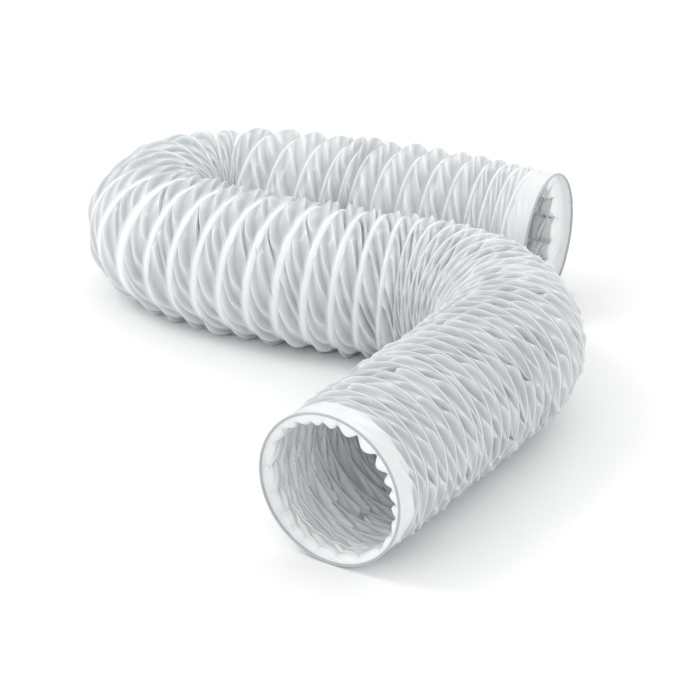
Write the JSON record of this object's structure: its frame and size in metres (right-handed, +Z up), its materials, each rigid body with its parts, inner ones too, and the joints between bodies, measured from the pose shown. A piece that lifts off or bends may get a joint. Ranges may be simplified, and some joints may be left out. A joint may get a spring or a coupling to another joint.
{
  "type": "flexible air duct",
  "caption": "White flexible air duct: spring-wire helix between two film plies, lying in an S, with plain round cuffs at both mouths; bends open and runs stretch.",
  "frame": {"origin": "on the floor, under the middle of the duct's overall box", "axes": "+Z up; the back run lies along +X, its mouth at the +X end; the front mouth faces -Y"},
  "size_m": [0.4434, 0.5113, 0.106],
  "materials": {
    "outer_film": "satin",
    "liner_film": "satin",
    "spring_wire": "drawn wire"
  },
  "bodies": {
    "front_cuff": {"front_cuff_inner_ply": "liner_film", "front_cuff_wire": "spring_wire", "front_cuff_outer_ply": "outer_film"},
    "front_run_1": {"front_run_1_inner_ply": "liner_film", "front_run_1_wire": "spring_wire", "front_run_1_outer_ply": "outer_film"},
    "front_run_2": {"front_run_2_inner_ply": "liner_film", "front_run_2_wire": "spring_wire", "front_run_2_outer_ply": "outer_film"},
    "right_bend_1": {"right_bend_1_inner_ply": "liner_film", "right_bend_1_wire": "spring_wire", "right_bend_1_outer_ply": "outer_film"},
    "right_bend_2": {"right_bend_2_inner_ply": "liner_film", "right_bend_2_wire": "spring_wire", "right_bend_2_outer_ply": "outer_film"},
    "right_bend_3": {"right_bend_3_inner_ply": "liner_film", "right_bend_3_wire": "spring_wire", "right_bend_3_outer_ply": "outer_film"},
    "middle_run": {"middle_run_inner_ply": "liner_film", "middle_run_wire": "spring_wire", "middle_run_outer_ply": "outer_film"},
    "left_bend_1": {"left_bend_1_inner_ply": "liner_film", "left_bend_1_wire": "spring_wire", "left_bend_1_outer_ply": "outer_film"},
    "left_bend_2": {"left_bend_2_inner_ply": "liner_film", "left_bend_2_wire": "spring_wire", "left_bend_2_outer_ply": "outer_film"},
    "left_bend_3": {"left_bend_3_inner_ply": "liner_film", "left_bend_3_wire": "spring_wire", "left_bend_3_outer_ply": "outer_film"},
    "back_run_1": {"back_run_1_inner_ply": "liner_film", "back_run_1_wire": "spring_wire", "back_run_1_outer_ply": "outer_film"},
    "back_run_2": {"back_run_2_inner_ply": "liner_film", "back_run_2_wire": "spring_wire", "back_run_2_outer_ply": "outer_film"},
    "back_cuff": {"back_cuff_inner_ply": "liner_film", "back_cuff_wire": "spring_wire", "back_cuff_outer_ply": "outer_film"}
  },
  "joints": [
    {"name": "right_bend_open", "type": "hinge", "parent": "middle_run", "child": "right_bend_3", "pos_m": [0.0543, 0.12547, 0.053], "axis": [0, 0, 1], "range_deg": [0, 20]},
    {"name": "right_bend_open_2", "type": "hinge", "parent": "right_bend_3", "child": "right_bend_2", "pos_m": [0.14568, 0.10853, 0.053], "axis": [0, 0, 1], "range_deg": [0, 20]},
    {"name": "right_bend_open_3", "type": "hinge", "parent": "right_bend_2", "child": "right_bend_1", "pos_m": [0.20847, 0.04001, 0.053], "axis": [0, 0, 1], "range_deg": [0, 20]},
    {"name": "left_bend_open", "type": "hinge", "parent": "middle_run", "child": "left_bend_1", "pos_m": [-0.14547, 0.03927, 0.053], "axis": [0, 0, 1], "range_deg": [0, 30]},
    {"name": "left_bend_open_2", "type": "hinge", "parent": "left_bend_1", "child": "left_bend_2", "pos_m": [-0.21693, 0.11073, 0.053], "axis": [0, 0, 1], "range_deg": [0, 30]},
    {"name": "left_bend_open_3", "type": "hinge", "parent": "left_bend_2", "child": "left_bend_3", "pos_m": [-0.20112, 0.21053, 0.053], "axis": [0, 0, 1], "range_deg": [0, 30]},
    {"name": "front_stretch", "type": "slide", "parent": "right_bend_1", "child": "front_run_2", "axis": [-0.225, -0.9744, 0], "range_m": [0, 0.048]},
    {"name": "front_stretch_2", "type": "slide", "parent": "front_run_2", "child": "front_run_1", "axis": [-0.225, -0.9744, 0], "range_m": [0, 0.06]},
    {"name": "front_stretch_3", "type": "slide", "parent": "front_run_1", "child": "front_cuff", "axis": [-0.225, -0.9744, 0], "range_m": [0, 0.03]},
    {"name": "back_stretch", "type": "slide", "parent": "left_bend_3", "child": "back_run_1", "axis": [1, 0, 0], "range_m": [0, 0.025]},
    {"name": "back_stretch_2", "type": "slide", "parent": "back_run_1", "child": "back_run_2", "axis": [1, 0, 0], "range_m": [0, 0.03125]},
    {"name": "back_stretch_3", "type": "slide", "parent": "back_run_2", "child": "back_cuff", "axis": [0.9945, -0.1045, 0], "range_m": [0, 0.01562]}
  ],
  "couplings": [
    {"joint": "right_bend_open_2", "follows": "right_bend_open", "ratio": 1},
    {"joint": "right_bend_open_3", "follows": "right_bend_open", "ratio": 1},
    {"joint": "left_bend_open_2", "follows": "left_bend_open", "ratio": 1},
    {"joint": "left_bend_open_3", "follows": "left_bend_open", "ratio": 1},
    {"joint": "front_stretch_2", "follows": "front_stretch", "ratio": 1.25},
    {"joint": "front_stretch_3", "follows": "front_stretch", "ratio": 0.625},
    {"joint": "back_stretch_2", "follows": "back_stretch", "ratio": 1.25},
    {"joint": "back_stretch_3", "follows": "back_stretch", "ratio": 0.625}
  ]
}
